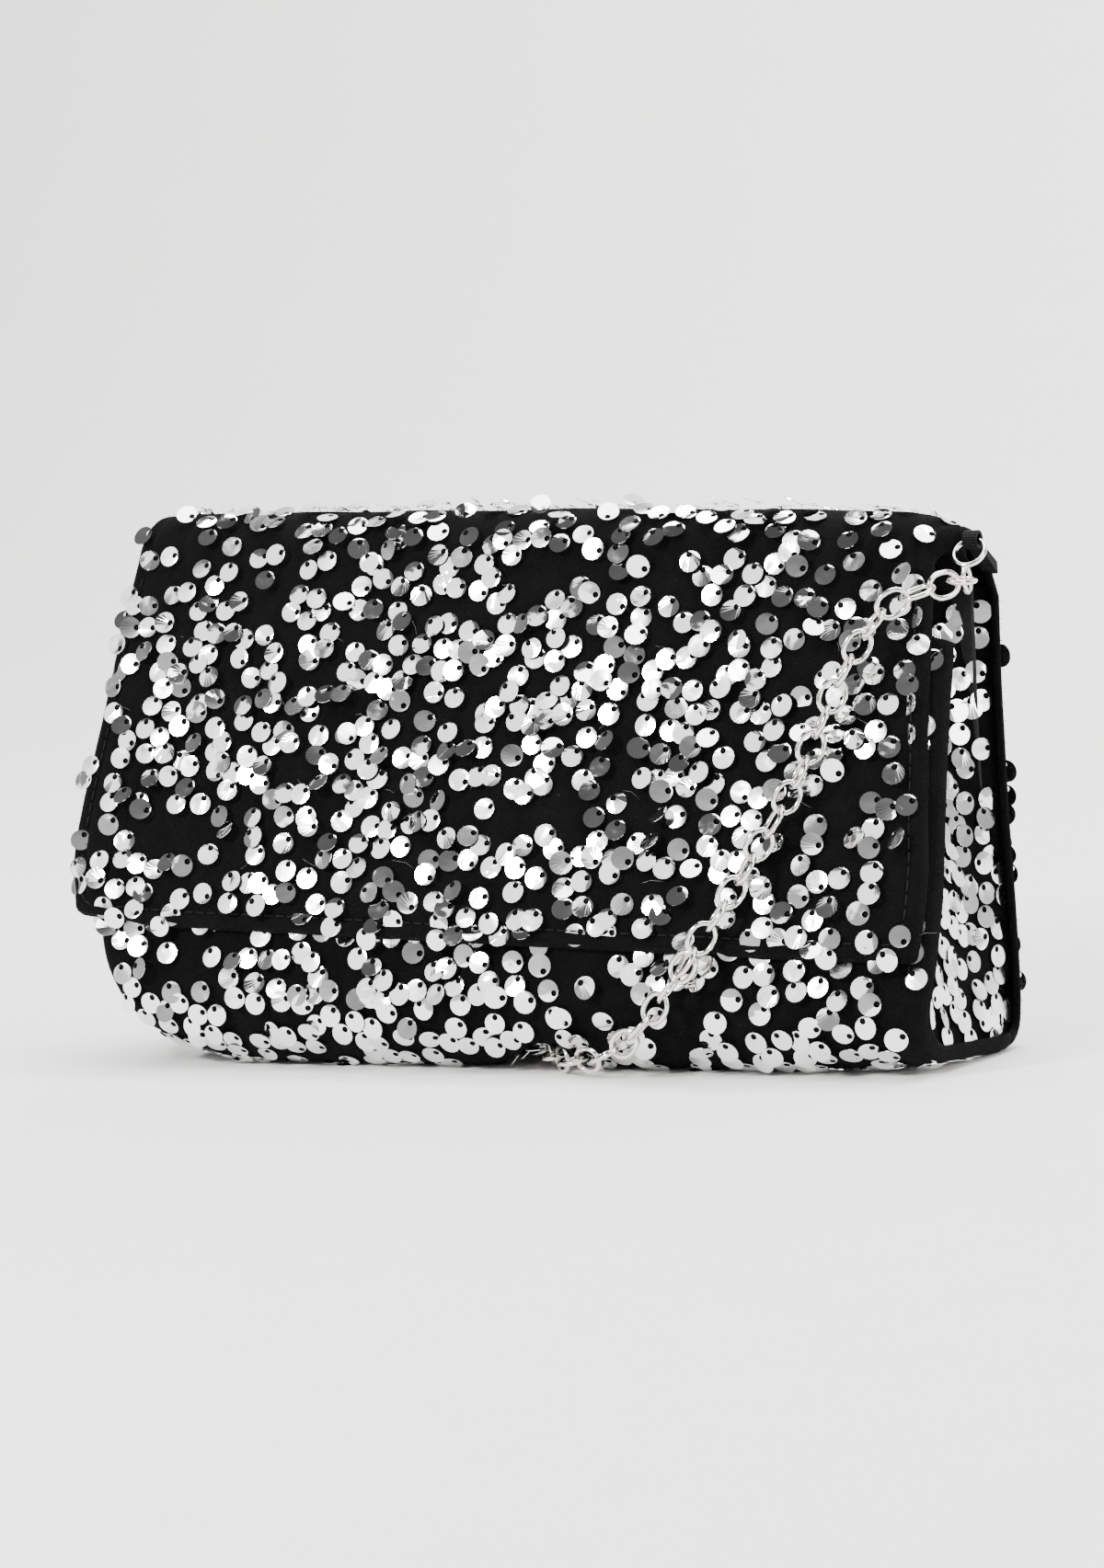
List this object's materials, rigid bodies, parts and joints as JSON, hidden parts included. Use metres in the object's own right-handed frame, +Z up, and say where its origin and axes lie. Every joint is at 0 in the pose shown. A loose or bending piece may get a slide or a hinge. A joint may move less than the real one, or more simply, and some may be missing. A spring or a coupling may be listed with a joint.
{
  "type": "evening bag",
  "caption": "Padded flap clutch of black velvet sewn with silver sequins, with pleated sides, a hidden snap and a cable chain strap",
  "frame": {"origin": "middle of the closed bag's footprint, on the surface that it stands on", "axes": "+X along the width to the bag's own left as it faces the viewer, -Y out of the front, +Z up"},
  "size_m": [0.2553, 0.096, 0.136],
  "materials": {
    "velvet": "black pile velvet sewn with silver sequins",
    "sequin": "flat silver sequins, polished",
    "satin": "black satin lining",
    "wadding": "polyester wadding",
    "board": "grey bag board",
    "chain_metal": "polished nickel plate",
    "snap_metal": "nickel-plated snap",
    "ribbon": "black ribbon",
    "tie": "black elastic band"
  },
  "bodies": {
    "root": {"back_cover": "velvet", "back_wadding": "wadding", "back_board": "board", "back_lining": "satin", "slip_pocket": "satin", "base_cover": "velvet", "base_wadding": "wadding", "base_board": "board", "base_lining": "satin", "lower_fold": "velvet", "top_fold": "velvet", "top_fold_lining": "satin", "right_gusset": "velvet", "right_gusset_lining": "satin", "left_gusset": "velvet", "left_gusset_lining": "satin", "right_ring_tab": "ribbon", "left_ring_tab": "ribbon", "chain_lower": "chain_metal", "chain_hank": "chain_metal", "chain_tail": "chain_metal", "hank_tie": "tie"},
    "flap": {"flap_cover": "velvet", "flap_board": "board", "flap_lining": "satin", "snap_stud": "snap_metal", "snap_stud_washer": "snap_metal", "chain_front": "chain_metal"},
    "front": {"front_cover": "velvet", "front_wadding": "wadding", "front_board": "board", "front_lining": "satin", "snap_socket": "snap_metal", "snap_socket_washer": "snap_metal"},
    "right_ring": {"right_ring": "chain_metal"},
    "left_ring": {"left_ring": "chain_metal"}
  },
  "joints": [
    {"name": "flap_hinge", "type": "hinge", "parent": "root", "child": "flap", "pos_m": [0, 0.017, 0.124], "axis": [-1, 0, 0], "range_deg": [0, 180], "deforming": ["top_fold", "top_fold_lining"]},
    {"name": "front_tilt", "type": "hinge", "parent": "root", "child": "front", "pos_m": [0, -0.011, 0.018], "axis": [1, 0, 0], "range_deg": [0, 8], "deforming": ["lower_fold", "right_gusset", "right_gusset_lining", "left_gusset", "left_gusset_lining"]},
    {"name": "right_ring_swing", "type": "hinge", "parent": "root", "child": "right_ring", "pos_m": [0.118, 0.017, 0.124], "axis": [-1, 0, 0], "range_deg": [0, 180]},
    {"name": "left_ring_swing", "type": "hinge", "parent": "root", "child": "left_ring", "pos_m": [-0.118, 0.017, 0.124], "axis": [-1, 0, 0], "range_deg": [-12, 12]}
  ],
  "couplings": [
    {"joint": "front_tilt", "follows": "flap_hinge", "ratio": 0.044444},
    {"joint": "right_ring_swing", "follows": "flap_hinge", "ratio": 1}
  ]
}
